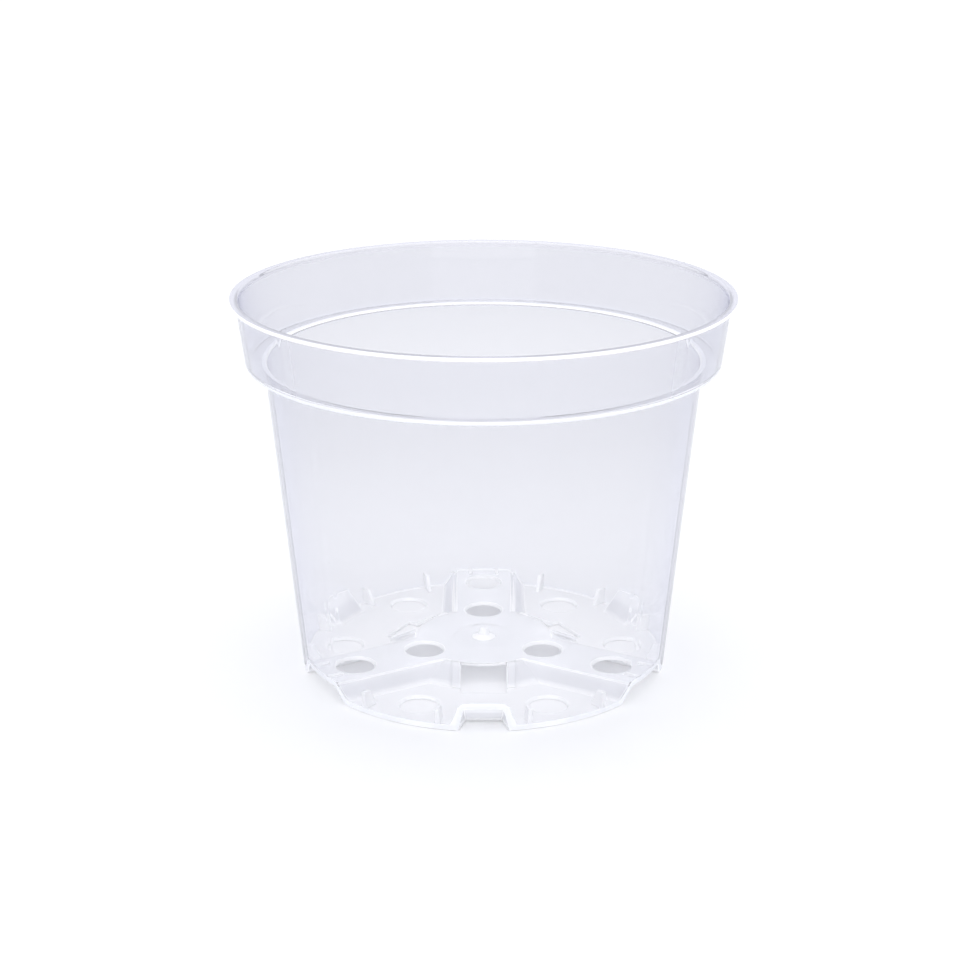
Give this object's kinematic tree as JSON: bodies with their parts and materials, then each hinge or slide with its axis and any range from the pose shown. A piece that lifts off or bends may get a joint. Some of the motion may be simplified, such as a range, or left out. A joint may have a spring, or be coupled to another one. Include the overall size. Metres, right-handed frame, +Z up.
{
  "type": "orchid pot",
  "caption": "Clear moulded orchid pot with a stepped rim, raised drainage floor, slots, round drain holes and a notched foot edge.",
  "frame": {"origin": "on the ground under the middle of the pot", "axes": "+Z up through the mouth, -Y towards the front notch"},
  "size_m": [0.14, 0.14, 0.1085],
  "materials": {
    "clear_plastic": "clear polypropylene, glossy with a faint haze"
  },
  "bodies": {
    "root": {"rim_lip": "clear_plastic", "rim_band": "clear_plastic", "rim_shelf": "clear_plastic", "side_wall": "clear_plastic", "centre_floor": "clear_plastic", "gate_nub": "clear_plastic", "drain_arm_back": "clear_plastic", "arm_ribs_back": "clear_plastic", "drain_arm_right": "clear_plastic", "arm_ribs_right": "clear_plastic", "drain_arm_left": "clear_plastic", "arm_ribs_left": "clear_plastic", "foot_skirts_front": "clear_plastic", "arm_flanks_front": "clear_plastic", "slot_risers_front": "clear_plastic", "foot_floor_front": "clear_plastic", "notch_ramp_front": "clear_plastic", "stacking_ribs_front": "clear_plastic", "foot_skirts_right": "clear_plastic", "arm_flanks_right": "clear_plastic", "slot_risers_right": "clear_plastic", "foot_floor_right": "clear_plastic", "notch_ramp_right": "clear_plastic", "stacking_ribs_right": "clear_plastic", "foot_skirts_left": "clear_plastic", "arm_flanks_left": "clear_plastic", "slot_risers_left": "clear_plastic", "foot_floor_left": "clear_plastic", "notch_ramp_left": "clear_plastic", "stacking_ribs_left": "clear_plastic"}
  },
  "joints": []
}
